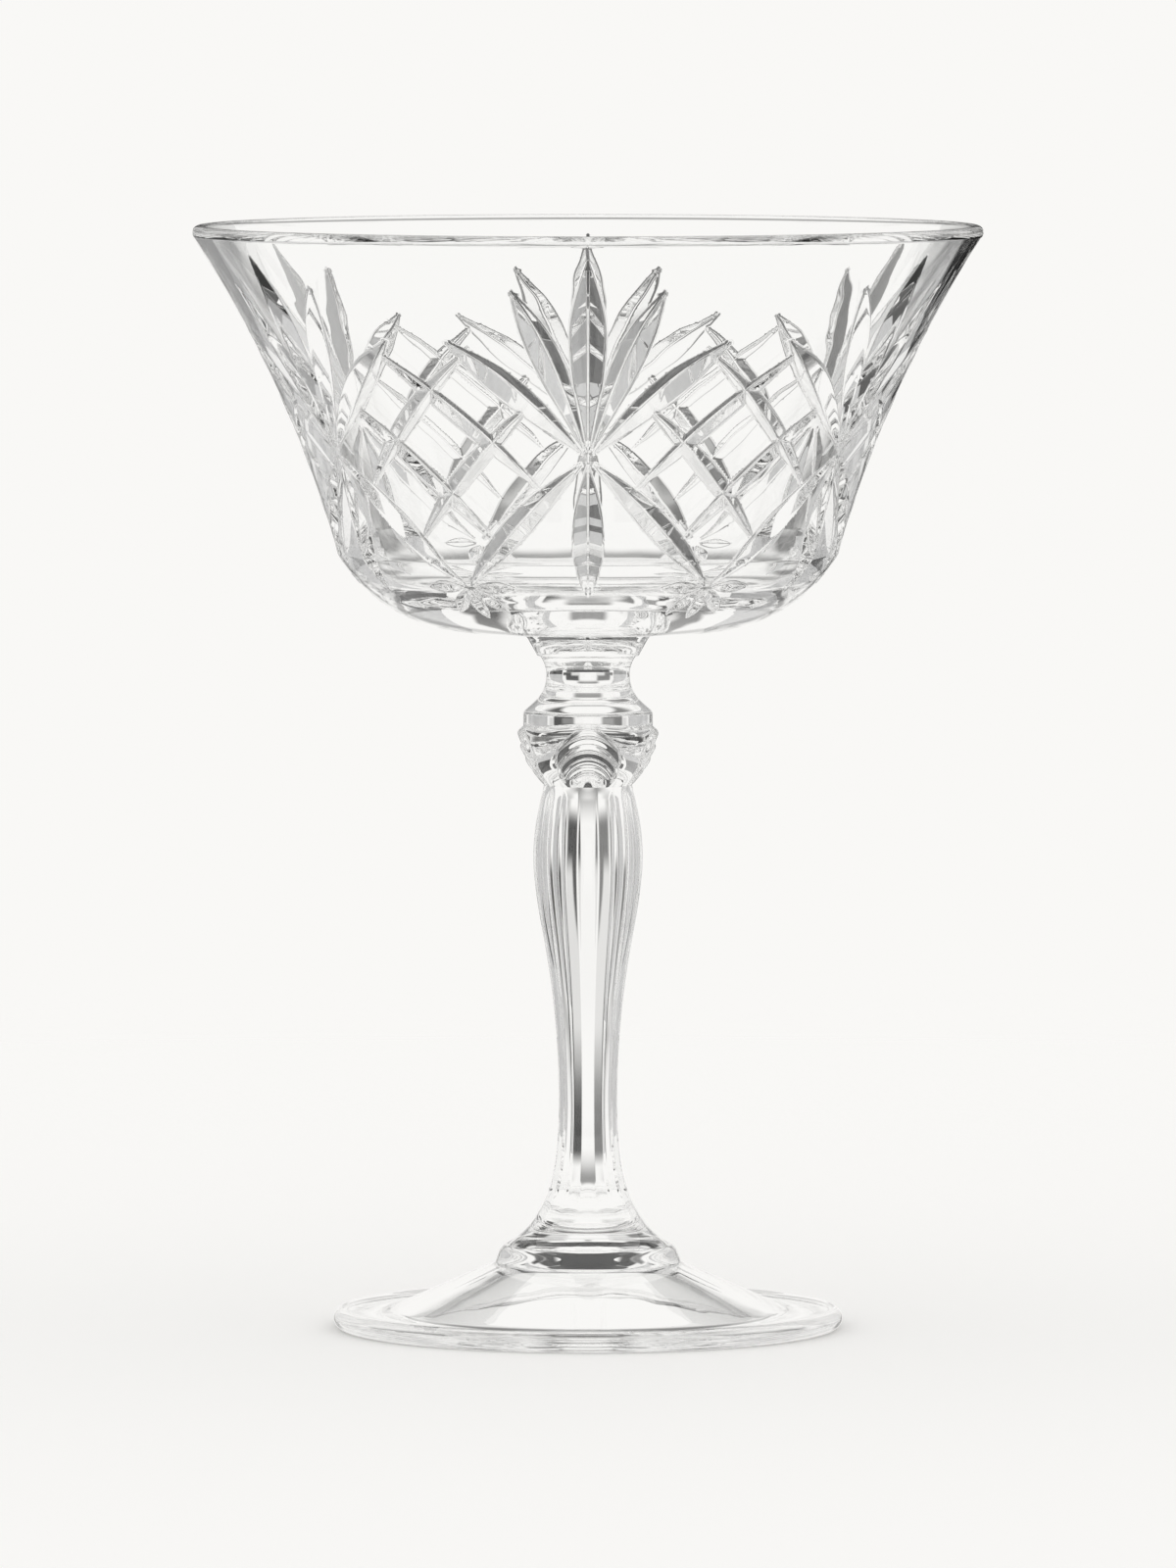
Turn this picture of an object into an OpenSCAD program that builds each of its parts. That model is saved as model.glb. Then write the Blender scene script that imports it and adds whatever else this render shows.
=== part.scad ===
// Coupe glass: a flared bowl with mitre-cut fans and diamonds, a boss under it,
// a knop with four ribbed shells, a fluted stem and a flared foot.
// Millimetres, +Z up. The glass stands on z = 0 and its axis is Z.
// The front, with one fan facing it, is towards -Y.

/* [Bowl] */
// Diameter over the rim
rim_d = 108; // [100:0.5:116]
// Height of the bowl, from its underside to the top of the rim
bowl_h = 55.4; // [50:0.1:60]
// Diameter at the shoulder, where the flared wall turns into the bottom
shoulder_d = 68.4; // [64:0.1:72]
// Height of the shoulder above the underside of the bowl
shoulder_h = 10.6; // [9:0.1:12]
// Lean of the wall at the rim, in degrees from upright
rim_lean = 33; // [31:0.5:35]
// Lean of the bottom just under the shoulder, in degrees from upright
corner_lean = 30; // [26:0.5:34]
// Thickness of the rim
rim_t = 2; // [1.5:0.1:3]
// Thickness of the wall at the shoulder
wall_t = 3.8; // [3.4:0.1:4.6]
// Thickness of the bowl's bottom
floor_t = 6.2; // [5:0.1:7]

/* [Cut pattern] */
// Number of fans round the bowl
fan_count = 6; // [5:1:7]
// Height of the fans' centres above the shoulder, along the wall
fan_rise = 15.4; // [14:0.1:17]
// Angle between the two flanks of a cut
mitre_angle = 105; // [100:1:120]
// Gap between a star's centre and the points of its cuts
star_gap = 0.7; // [0.5:0.1:1.2]
// Length of a fan's middle cut
fan_reach = 30.2; // [26:0.1:31]
// Width of a fan's middle cut
fan_w = 4.8; // [3.6:0.1:5.2]
// Width of a fan's other cuts
ray_w = 4; // [3.2:0.1:4.4]
// Width of the cuts from a fan to the small stars
link_w = 3.5; // [2.6:0.1:3.8]
// Length of the upright cut below a fan
drop_reach = 21; // [18:0.1:23]
// Width of the upright cut below a fan
drop_w = 4.2; // [3:0.1:4.6]
// Height of the diamond's centre above the shoulder, along the wall
diamond_rise = 17.4; // [16.5:0.1:18.5]
// Half of the diamond's height, between two crossings of its grooves
diamond_half = 7.6; // [7:0.1:8.2]
// Length of each groove beyond the diamond's corners
groove_run = 7; // [5:0.1:8]
// Width of the diamond's grooves
groove_w = 2.6; // [2:0.1:3]
// Drop of the small stars below the shoulder, along the wall
star_drop = 3.9; // [3.2:0.1:4.6]
// Length of the small stars' cuts
star_reach = 7; // [5.5:0.1:7.5]
// Width of the small stars' cuts
star_w = 2; // [1.5:0.1:2.4]

/* [Boss] */
// Height of the boss between the bowl and the knop
boss_h = 3.4; // [2:0.1:5]
// Diameter of the boss where it meets the bowl
boss_top_d = 18.6; // [16:0.1:22]
// Diameter of the boss at its lower edge
boss_d = 14; // [13.4:0.1:15]

/* [Knop] */
// Height of the neck above the knop's body
neck_h = 8; // [7:0.1:10]
// Diameter of the neck at its top
neck_top_d = 13.2; // [12:0.1:13.4]
// Diameter of the neck at its narrowest
neck_d = 11.4; // [10:0.1:12]
// Height of the neck's narrowest place above the knop's body
throat_h = 5.4; // [4.5:0.1:6]
// Height of the knop's body
knop_h = 9.7; // [8.5:0.1:11]
// Diameter of the knop's body
knop_d = 17.7; // [16:0.1:20]
// Height above the knop's foot at which its body reaches that diameter
side_h = 6.8; // [5.5:0.1:7.5]
// Diameter where the knop meets the stem
waist_d = 12.1; // [11:0.1:13]
// Number of ribbed shells round the knop
shell_count = 4; // [3:1:5]
// Angle that a shell spans round the knop
shell_span = 65; // [50:1:70]
// Height of a shell's outer rib above the knop's foot
shell_h = 7.1; // [6:0.1:8]
// Number of nested ribs in a shell
rib_count = 3; // [2:1:4]
// How far the outer rib stands proud
rib_t = 0.8; // [0.4:0.05:1.2]

/* [Stem] */
// Height of the stem
stem_h = 62.9; // [54:0.1:72]
// Diameter of the belly near the top
belly_d = 15.2; // [14:0.1:17]
// Drop of the belly below the top of the stem
belly_drop = 9.7; // [8:0.1:12]
// Diameter of the stem at its thinnest
stem_d = 8.1; // [7:0.1:9]
// Height of the thinnest place above the foot's collar
thin_h = 19.4; // [17:0.1:23]
// Number of flutes round the stem
flute_count = 16; // [12:1:20]
// Depth of the flutes at the belly
flute_t = 0.27; // [0.2:0.01:0.4]
// Height above the collar where the flutes fade out
flute_h = 4.6; // [3.5:0.1:7]

/* [Foot] */
// Diameter of the foot
foot_d = 69.7; // [62:0.1:76]
// Height of the foot to the top of its collar
foot_h = 11.6; // [10.6:0.1:13]
// Diameter of the collar's top, where the stem's flare ends
collar_d = 22.2; // [20:0.1:24]
// How far the collar's edge spreads outwards on its way down
collar_spread = 1.6; // [1.2:0.1:2]
// Height of the collar's rounded edge
collar_h = 2.6; // [2:0.1:3]
// Diameter at the lower end of the foot's slope
slope_d = 54; // [50:0.1:56]
// Height of the foot at the lower end of its slope
slope_h = 2.7; // [2.5:0.1:3]
// Thickness of the foot's round edge
edge_t = 2.8; // [2.4:0.1:3.4]
// Thickness of the foot under its slope
foot_t = 2.6; // [2.2:0.1:3]
// Radius of the dome under the foot's middle
dome_r = 30; // [25:1:40]

/* [Hidden] */
$fn = 96;
// Pieces of straight line in each curve of a turned outline
curve_steps = 10;

// Levels of the joints between the pieces
stem_z = foot_h;
knop_z = stem_z + stem_h;
boss_z = knop_z + knop_h + neck_h;
bowl_z = boss_z + boss_h;

// The wall's skin is one hollow arc from the shoulder to the rim. Its lean
// grows from shoulder_lean to rim_lean. Below the shoulder's edge a round
// corner starts at corner_lean and turns under.
shoulder = [shoulder_d / 2, shoulder_h];
lip_r = rim_t / 2;
lip = [rim_d / 2 - lip_r, bowl_h - lip_r];
rim_out = lip + lip_r * [cos(rim_lean), -sin(rim_lean)];
rim_in = lip - lip_r * [cos(rim_lean), -sin(rim_lean)];
shoulder_lean = foot_lean(shoulder, rim_out);
flare_r = arc_radius(shoulder, rim_out);
corner_r = shoulder_h / (1 - sin(corner_lean));
corner = shoulder - corner_r * [cos(corner_lean), -sin(corner_lean)];

// The inside follows the skin, one wall thickness in from the shoulder
inner = shoulder - wall_t * [cos(shoulder_lean), -sin(shoulder_lean)];
inner_lean = foot_lean(inner, rim_in);
inner_r = arc_radius(inner, rim_in);
inner_corner_r = (inner[1] - floor_t) / (1 - sin(inner_lean));
inner_corner = inner - inner_corner_r * [cos(inner_lean), -sin(inner_lean)];

// Lean of a chord from upright, and the lean and radius of an arc on that
// chord which ends with the rim's lean
function chord_lean(p, q) = atan2(q[0] - p[0], q[1] - p[1]);
function foot_lean(p, q) = 2 * chord_lean(p, q) - rim_lean;
function arc_radius(p, q) = norm(q - p) / (2 * sin(rim_lean - chord_lean(p, q)));
function flare_pts(p, lean, r, steps) =
    [for (i = [0:steps])
        let (a = lean + (rim_lean - lean) * i / steps)
        p + r * [cos(lean) - cos(a), sin(a) - sin(lean)]];
function arc_pts(c, r, from, to, steps) =
    [for (i = [0:steps])
        let (a = from + (to - from) * i / steps)
        c + r * [cos(a), sin(a)]];
function curve_pts(a, b, c, d, steps) =
    [for (i = [0:steps])
        let (t = i / steps, u = 1 - t)
        u * u * u * a + 3 * u * u * t * b + 3 * u * t * t * c + t * t * t * d];
// A curve from a to d. Its pull holds, for each end, how far that end's direction
// reaches, as shares of the way from a to d.
function bend_pts(a, d, pull, steps) =
    let (way = d - a)
    let (b = a + [pull[0][0] * way[0], pull[0][1] * way[1]])
    let (c = d - [pull[1][0] * way[0], pull[1][1] * way[1]])
    curve_pts(a, b, c, d, steps);
function reversed(list) = [for (i = [len(list) - 1:-1:0]) list[i]];
// A list without its first point, to follow one that ends there
function tail(list) = [for (i = [1:len(list) - 1]) list[i]];

// Cut pattern. A place on the skin is [azimuth in degrees, distance along the
// wall above the shoulder]; below the shoulder the distance is negative.
sector = 360 / fan_count;
flank = tan(mitre_angle / 2);
// Straight stretches in each cut
cut_steps = 4;
// Height above the skin at which the cuts' flanks end
cut_clear = 0.6;
// Rise of a cut's point above the skin, so that the cut runs out of the glass
point_rise = 0.05;
star_az = sector / 2;
// Leans of the cuts on one side of a fan, from its middle, and their lengths as
// shares of the middle cut's
fan_leans = [17.8, 43.6];
fan_shares = [0.894, 0.805];
// Where a fan's cuts and the cut below it are widest, as shares of their length
fan_widest = 0.6;
drop_widest = 0.55;
// Leans of the cuts on one side of a small star
star_leans = [90, 140];
// Half of the diamond's width in degrees, for a square diamond
diamond_az = degrees_at(diamond_half, skin_r(diamond_rise));

function degrees_at(length, r) = length / r * 180 / PI;
function skin_lean(s) =
    s >= 0
        ? shoulder_lean + s / flare_r * 180 / PI
        : corner_lean - s / corner_r * 180 / PI;
function skin_r(s) = s >= 0
    ? shoulder[0] + flare_r * (cos(shoulder_lean) - cos(skin_lean(s)))
    : corner[0] + corner_r * cos(skin_lean(s));
function skin_h(s) = s >= 0
    ? shoulder[1] + flare_r * (sin(skin_lean(s)) - sin(shoulder_lean))
    : corner[1] - corner_r * sin(skin_lean(s));
// A place moved sideways across a cut that runs at angle a from upright, and
// moved out from the skin
function off_skin(place, a, side, out) =
    let (az = place[0], lean = skin_lean(place[1]), r = skin_r(place[1]))
    let (across = side * cos(a), up = -side * sin(a))
    let (reach = r + up * sin(lean) + out * cos(lean))
    [reach * sin(az) + across * cos(az),
     -reach * cos(az) + across * sin(az),
     skin_h(place[1]) + up * cos(lean) - out * sin(lean)];
// Leaf shape: 0 at both points and 1 at the widest place
function leaf(t, widest) =
    t < widest ? sin(90 * t / widest) : cos(90 * (t - widest) / (1 - widest));

// A mitre cut between two places, as a keel with two flanks
module cut(from, to, w, widest = 0.5) {
    run = to - from;
    mid_r = skin_r((from[1] + to[1]) / 2);
    a = atan2(run[0] * PI / 180 * mid_r, run[1]);
    rings = [for (i = [0:cut_steps])
        let (t = i / cut_steps, place = from + t * run)
        let (depth = leaf(t, widest) * w / 2 / flank - point_rise)
        let (side = (depth + cut_clear) * flank)
        [off_skin(place, a, 0, -depth),
         off_skin(place, a, -side, cut_clear),
         off_skin(place, a, side, cut_clear)]];
    loft(rings);
}

// A cut that leaves a star's centre at a lean, on the unrolled wall
module ray(centre, lean, length, w, widest = 0.5) {
    r = skin_r(centre[1]);
    way = [degrees_at(sin(lean), r), cos(lean)];
    cut(centre + star_gap * way, centre + length * way, w, widest);
}

// A cut from one star towards another, short of both centres
module link(from, to, w) {
    run = to - from;
    length = norm([run[0] * PI / 180 * skin_r(from[1]), run[1]]);
    short = star_gap / length * run;
    cut(from + short, to - short, w);
}

// A solid through rings of equally many points
module loft(rings) {
    n = len(rings[0]);
    last = len(rings) - 1;
    polyhedron(
        [for (ring = rings) for (p = ring) p],
        concat(
            [[for (j = [0:n - 1]) j]],
            [for (i = [0:last - 1]) for (j = [0:n - 1])
                let (k = (j + 1) % n)
                each [[i * n + j, (i + 1) * n + j, i * n + k],
                      [i * n + k, (i + 1) * n + j, (i + 1) * n + k]]],
            [[for (j = [n - 1:-1:0]) last * n + j]]
        )
    );
}

// Everything that is cut in one sector: the fan, the cuts below it, half of
// its links, the diamond and the small star beside it
module sector_cuts() {
    fan = [0, fan_rise];
    star = [star_az, -star_drop];
    ray(fan, 0, fan_reach, fan_w, fan_widest);
    for (side = [-1, 1]) {
        for (k = [0:len(fan_leans) - 1])
            ray(fan, side * fan_leans[k], fan_shares[k] * fan_reach, ray_w, fan_widest);
        link(fan, [side * star_az, -star_drop], link_w);
        for (lean = star_leans)
            ray(star, side * lean, star_reach, star_w);
    }
    ray(fan, 180, drop_reach, drop_w, drop_widest);
    ray(star, 180, star_reach, star_w);
    diamond();
}

// Four grooves that cross at the corners of a diamond between two fans
module diamond() {
    for (side = [-1, 1])
        for (level = [0, 1]) {
            low = [star_az - side * diamond_az * (1 - level),
                   diamond_rise - diamond_half * level];
            step = [side * diamond_az, diamond_half];
            more = groove_run / diamond_half * step;
            cut(low - more, low + step + more, groove_w);
        }
}

module bowl_outline() {
    polygon(concat(
        [[0, 0]],
        arc_pts(corner, corner_r, -90, -corner_lean, curve_steps),
        tail(flare_pts(shoulder, shoulder_lean, flare_r, curve_steps)),
        tail(arc_pts(lip, lip_r, -rim_lean, 180 - rim_lean, curve_steps)),
        tail(reversed(flare_pts(inner, inner_lean, inner_r, curve_steps))),
        tail(reversed(arc_pts(inner_corner, inner_corner_r, -90, -inner_lean, curve_steps))),
        [[0, floor_t]]
    ));
}

module bowl() {
    color("white", 0.5)
    translate([0, 0, bowl_z])
    difference() {
        rotate_extrude() bowl_outline();
        for (i = [0:fan_count - 1])
            rotate([0, 0, i * sector]) sector_cuts();
    }
}

module boss() {
    color("white", 0.5)
    translate([0, 0, boss_z])
    cylinder(h = boss_h, d1 = boss_d, d2 = boss_top_d);
}

// Knop. Its turned line runs from the waist over the body and the neck, as
// [radius, height] above the knop's foot.
knop_foot = [waist_d / 2, 0];
knop_side = [knop_d / 2, side_h];
knop_top = [knop_d / 2, knop_h];
throat = [neck_d / 2, knop_h + throat_h];
neck_top = [neck_top_d / 2, knop_h + neck_h];
body_pull = [[0.62, 0.25], [0, 0.4]];
neck_pull = [[0, 0.22], [0, 0.67]];
throat_pull = [[0, 0.41], [0.5, 0.24]];
// Rings of points in each stretch of the line
body_rings = 14;
side_rings = 5;
neck_rings = 7;
throat_rings = 3;
knop_line = concat(
    bend_pts(knop_foot, knop_side, body_pull, body_rings),
    [for (i = [1:side_rings - 1]) knop_side + i / side_rings * (knop_top - knop_side)],
    bend_pts(knop_top, throat, neck_pull, neck_rings),
    tail(bend_pts(throat, neck_top, throat_pull, throat_rings))
);
// Points round the knop for each shell
shell_points = 22;
// Height at which the ribs have grown to their full height
shell_base = 1.2;
rib_pitch = 1 / rib_count;
// How far the ends of the ribs hang below their middles, as a share of the shell's height
rib_arch = 0.6;
// Share of a shell's half over which the ribs run out at its sides
rib_fade = 0.2;

// Height of the ribs over the knop's body. The level is 0 at the middle of the
// shell's foot and 1 on its outer rib.
function rib(az, h) =
    let (side = abs(az) / (shell_span / 2))
    let (level = max(h - shell_base, 0) / (shell_h - shell_base) + rib_arch * side * side)
    let (fade = min(1, h / shell_base) * max(0, min(1, (1 - side) / rib_fade)))
    level > 1 + rib_pitch / 2 ? 0
        : rib_t * min(level, 1) * fade * abs(cos(180 * (1 - level) / rib_pitch));
function knop_ring(p) =
    let (n = shell_count * shell_points, step = 360 / shell_count)
    [for (i = [0:n - 1])
        let (az = 360 * i / n, off = az - step * round(az / step))
        let (r = p[0] + rib(off, p[1]))
        [r * sin(az), -r * cos(az), p[1]]];

module knop() {
    color("white", 0.5)
    translate([0, 0, knop_z])
    loft([for (p = knop_line) knop_ring(p)]);
}

// Stem. Its line runs from the foot's collar over the thinnest place and the
// belly to the waist under the knop, as [radius, height] above the collar.
stem_foot = [collar_d / 2, 0];
stem_thin = [stem_d / 2, thin_h];
stem_belly = [belly_d / 2, stem_h - belly_drop];
stem_top = [waist_d / 2, stem_h];
flare_pull = [[0.8, 0.15], [0, 0.47]];
swell_pull = [[0, 0.53], [0, 0.24]];
waist_pull = [[0, 0.3], [0.65, 0.34]];
// Rings of points in each stretch of the line
flare_rings = 12;
swell_rings = 14;
waist_rings = 8;
stem_line = concat(
    bend_pts(stem_foot, stem_thin, flare_pull, flare_rings),
    tail(bend_pts(stem_thin, stem_belly, swell_pull, swell_rings)),
    tail(bend_pts(stem_belly, stem_top, waist_pull, waist_rings))
);
// Points round the stem for each flute
flute_points = 4;
// Lengths over which the flutes run out at the top and at the bottom
flute_start = 1.6;
flute_end = 3;
// How fast the flutes get shallower as the stem gets thinner
flute_fall = 2.2;

function flute_depth(p) =
    flute_t * pow(p[0] / stem_belly[0], flute_fall)
        * max(0, min(1, (stem_h - p[1]) / flute_start, (p[1] - flute_h) / flute_end));
function stem_ring(p) =
    let (n = flute_count * flute_points)
    [for (i = [0:n - 1])
        let (t = 2 * (i % flute_points) / flute_points - 1)
        let (r = p[0] - flute_depth(p) * (1 - t * t))
        let (az = 360 * (i - flute_points / 2) / n)
        [r * sin(az), -r * cos(az), p[1]]];

module stem() {
    color("white", 0.5)
    translate([0, 0, stem_z])
    loft([for (p = stem_line) stem_ring(p)]);
}

// Foot. Its outline starts under the middle and runs round the edge.
edge_r = edge_t / 2;
edge = [foot_d / 2 - edge_r, edge_r];
// Turn of the round edge, from its underside to where the top begins
edge_turn = 195;
edge_end = edge + edge_r * [sin(edge_turn), -cos(edge_turn)];
edge_way = [cos(edge_turn), sin(edge_turn)];
slope_top = [collar_d / 2 + collar_spread, foot_h - collar_h];
slope_end = [slope_d / 2, slope_h];
slope_way = (slope_end - slope_top) / norm(slope_end - slope_top);
// The underside runs parallel to the slope, from the flat ring that the glass
// stands on to the dome under the middle
slope_out = [-slope_way[1], slope_way[0]];
under = slope_end - foot_t * slope_out;
ring_r = under[0] + under[1] * slope_out[1] / slope_out[0];
dome = [0, under[1] + (under[0] * slope_out[0] - dome_r) / slope_out[1]];
dome_end = atan2(slope_out[1], slope_out[0]);
// Pull of the round edge and of the slope on the dip between them
edge_pull = 1.2;
slope_pull = 2.2;
collar_top = [collar_d / 2, foot_h];
collar_pull = [[0.2, 0.35], [0.6, 0.1]];

module foot_outline() {
    polygon(concat(
        arc_pts(dome, dome_r, 90, dome_end, curve_steps),
        [[ring_r, 0]],
        arc_pts(edge, edge_r, -90, edge_turn - 90, 2 * curve_steps),
        tail(curve_pts(edge_end, edge_end + edge_pull * edge_way,
            slope_end + slope_pull * slope_way, slope_end, curve_steps)),
        bend_pts(slope_top, collar_top, collar_pull, curve_steps),
        [[0, foot_h]]
    ));
}

module foot() {
    color("white", 0.5)
    rotate_extrude() foot_outline();
}

bowl();
boss();
knop();
stem();
foot();
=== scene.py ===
"""A cut coupe glass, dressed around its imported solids.

Profiles are in millimetres, as pairs of radius and height. Round the axis, azimuth 0 is the
front, towards -Y, and it grows towards +X. A place on the bowl's skin is an azimuth and a
distance along the wall above the shoulder, which is negative below it. A pull gives the shares
of the way that the two handles of a bend reach, outward and up.
"""
import math

import bpy
import numpy as np
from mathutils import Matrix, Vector
from mathutils.geometry import delaunay_2d_cdt
from mathutils.kdtree import KDTree


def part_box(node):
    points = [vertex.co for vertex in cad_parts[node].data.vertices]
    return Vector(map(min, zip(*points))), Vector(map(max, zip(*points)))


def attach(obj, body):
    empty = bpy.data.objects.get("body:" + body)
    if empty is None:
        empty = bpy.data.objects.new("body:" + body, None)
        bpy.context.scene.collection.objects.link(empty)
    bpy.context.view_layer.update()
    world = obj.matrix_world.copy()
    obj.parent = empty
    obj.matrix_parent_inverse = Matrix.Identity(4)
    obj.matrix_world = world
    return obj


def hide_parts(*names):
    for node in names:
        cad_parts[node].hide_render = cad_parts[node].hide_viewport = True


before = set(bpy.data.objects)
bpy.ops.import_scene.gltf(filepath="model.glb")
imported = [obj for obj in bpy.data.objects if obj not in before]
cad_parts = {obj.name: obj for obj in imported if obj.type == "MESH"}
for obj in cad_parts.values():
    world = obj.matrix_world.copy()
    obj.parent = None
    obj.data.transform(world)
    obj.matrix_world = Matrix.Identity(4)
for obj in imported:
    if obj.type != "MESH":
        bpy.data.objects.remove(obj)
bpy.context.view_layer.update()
scene = bpy.context.scene
MM = 0.001
# Least length that a vector is divided by
TINY = 1e-12


def levels(node):
    """Lowest and highest level of a solid, in millimetres."""
    low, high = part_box(node)
    return low.z / MM, high.z / MM


def half_width(node):
    """Largest radius of a solid, in millimetres."""
    low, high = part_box(node)
    return (high.x - low.x) / 2 / MM


# Camera, as the photograph was taken, and how often light turns in the glass
CAMERA_DISTANCE = 2.0
CAMERA_HEIGHT = 0.2087
AIM_HEIGHT = 0.0746
LENS = 336.6
SENSOR = 36
CLIP_END = 100
BOUNCES = 32
GLOSSY_BOUNCES = 16

# Studio
BACKDROP = (0.947, 0.939, 0.921)
FLOOR_ALBEDO = (0.947, 0.939, 0.921)
FLOOR_RADIUS = 0.6
# The floor's innermost ring, and how many rings and columns it has
FLOOR_MIDDLE = 0.002
FLOOR_RINGS = 24
FLOOR_COLUMNS = 96
# Shares of the floor's radius between which it fades
FLOOR_FADE = (0.4, 0.98)
# Low round the glass, on each side, a lit window with dark cards beside it, and a dark table edge
# below. Above the cards it is dark too. The rest is lit. Each pair holds the angles in degrees
# between which an edge is soft, from the middle of a side or in elevation.
SIDES = 4
WINDOW_SIDE = (7.0, 10.5)
WINDOW_LOW = (-21.0, -11.0)
CARD_SIDE = (22.0, 24.3)
CARD_LOW = (-17.0, -12.0)
CARD_HIGH = (6.0, 11.0)
# Tones of the right and the left card, and half the angle over which they change
CARD_TONES = (0.05, 0.2)
CARD_CHANGE = 1.0
# Where the window and the cards get wider upwards, their sides there, and how lit the window is
SLANT = (-6.0, 1.0)
SLANT_WINDOW = (15.0, 18.0)
SLANT_CARD = (25.5, 28.0)
SLANT_SHARE = 0.75
TOP_SIDE = (21.5, 24.0)
TOP_MIDDLE = (12.0, 15.0)
TOP_LOW = (6.0, 11.0)
TOP_HIGH = (24.0, 30.0)
TOP_TONE = 0.06
TABLE_SIDE = (8.0, 13.0)
TABLE_LOW = (-27.0, -23.0)
TABLE_TONE = 0.3
# Dark and grey screens behind the glass, in metres: how far back each stands, its left and right
# edge, its lower and upper edge, and its tone
SCREENS = {
    "screen_right": (0.15, 0.076, 0.24, 0.0925, 0.19, 0.04),
    "screen_left": (0.15, -0.24, -0.076, 0.0925, 0.19, 0.34),
    "screen_low_right": (0.15, 0.076, 0.24, -0.02, 0.0925, 0.56),
    "screen_low_left": (0.15, -0.24, -0.076, -0.02, 0.0925, 0.62),
    "screen_top": (0.4, -0.1, 0.1, 0.15, 0.42, 0.05),
    "screen_top_right": (0.4, 0.1, 0.187, 0.225, 0.42, 0.08),
    "screen_top_left": (0.4, -0.187, -0.1, 0.225, 0.42, 0.08),
}

# Glass: waves of the pressed surface, in metres, and smears on it, where their noise is in a range
GLASS_COLOUR = (0.997, 0.999, 0.998)
GLASS_IOR = 1.52
WAVE_SCALE = 70
WAVE_DETAIL = 2
WAVE_HEIGHT = 0.00008
SMEAR_SCALE = 45
SMEAR_DETAIL = 4
SMEAR_RANGE = (0.45, 0.75)
SMEAR_ROUGHNESS = 0.02

# Bowl
BOWL_LOW, BOWL_HIGH = levels("bowl")
RIM_R = 54.0
LIP_R = 1.0
RIM_LEAN = math.radians(33)
SHOULDER_R = 34.2
SHOULDER_H = 10.6
CORNER_LEAN = math.radians(30)
WALL_T = 3.8
FLOOR_T = 6.2
# Radius of the ring in the middle of the inside
MIDDLE_R = 0.4
# Rows of places under the cut skin
UNDER_ROWS = 14

# Cut pattern
FAN_COUNT = 6
FAN_RISE = 15.4
MITRE = math.radians(105)
STAR_GAP = 0.7
FAN_REACH = 30.2
FAN_W = 4.8
FAN_LEANS = (17.8, 43.6)
FAN_SHARES = (0.894, 0.805)
FAN_WIDEST = 0.6
RAY_W = 4.0
LINK_W = 3.5
DROP_REACH = 21.0
DROP_W = 4.2
DROP_WIDEST = 0.55
EVEN_WIDEST = 0.5
DIAMOND_RISE = 17.4
DIAMOND_HALF = 7.6
GROOVE_RUN = 7.0
GROOVE_W = 2.6
STAR_DROP = 3.9
STAR_REACH = 7.0
STAR_W = 2.0
STAR_LEANS = (90, 140)

# Knop
KNOP_LOW, KNOP_HIGH = levels("knop")
WAIST_R = 6.05
KNOP_R = 8.85
SIDE_H = 6.8
KNOP_H = 9.7
NECK_R = 5.7
THROAT_H = 5.4
NECK_TOP_R = 6.6
SIDE_PULL = ((0.62, 0.25), (0, 0.4))
THROAT_PULL = ((0, 0.22), (0, 0.67))
NECK_PULL = ((0, 0.41), (0.5, 0.24))
KNOP_COLUMNS = 352
SHELL_COUNT = 4
SHELL_HALF = math.radians(32.5)
SHELL_H = 7.1
SHELL_BASE = 1.2
SHELL_ARCH = 0.6
SHELL_EDGE = 0.2
RIB_COUNT = 3
RIB_T = 0.8

# Boss
BOSS_LOW, BOSS_HIGH = levels("boss")
BOSS_TOP_R = half_width("boss")
BOSS_R = 7.0
# Its rounded lower edge: where it starts inside and ends outside that radius, and its height
BOSS_INSET = 0.15
BOSS_BULGE = 0.1
BOSS_EDGE_H = 0.3
BOSS_EDGE_PULL = ((0.6, 0), (0.3, 0.6))
BOSS_PULL = ((0.3, 0.35), (0.5, 0.25))
BOSS_COLUMNS = 192

# Stem
STEM_LOW, STEM_HIGH = levels("stem")
COLLAR_R = 11.1
THIN_R = 4.05
THIN_H = 19.4
BELLY_R = 7.6
BELLY_DROP = 9.7
THIN_PULL = ((0.8, 0.15), (0, 0.47))
BELLY_PULL = ((0, 0.53), (0, 0.24))
WAIST_PULL = ((0, 0.3), (0.65, 0.34))
FLUTE_COUNT = 16
FLUTE_T = 0.27
FLUTE_H = 4.6
FLUTE_START = 1.6
FLUTE_END = 3.0
# Power of the radius with which the flutes get shallower
FLUTE_FALL = 2.2
FLUTE_COLUMNS = 14

# Foot
FOOT_HIGH = levels("foot")[1]
FOOT_R = half_width("foot")
COLLAR_SPREAD = 1.6
COLLAR_H = 2.6
SLOPE_R = 27.0
SLOPE_H = 2.7
EDGE_R = 1.4
EDGE_TURN = math.radians(195)
FOOT_T = 2.6
DOME_R = 30.0
# Handles of the curve between the edge and the slope, in millimetres
EDGE_HANDLE = 1.2
SLOPE_HANDLE = 2.2
COLLAR_PULL = ((0.2, 0.35), (0.6, 0.1))
# Angle by which the dome's first ring stays off the axis, in radians
DOME_START = 0.012
FOOT_COLUMNS = 256


# Curves of a profile

def arc(centre, radius, start, end, steps):
    """Points on an arc, with angles in radians from the outward direction."""
    a = np.linspace(start, end, steps + 1)
    return np.column_stack([centre[0] + radius * np.cos(a), centre[1] + radius * np.sin(a)])


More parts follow.
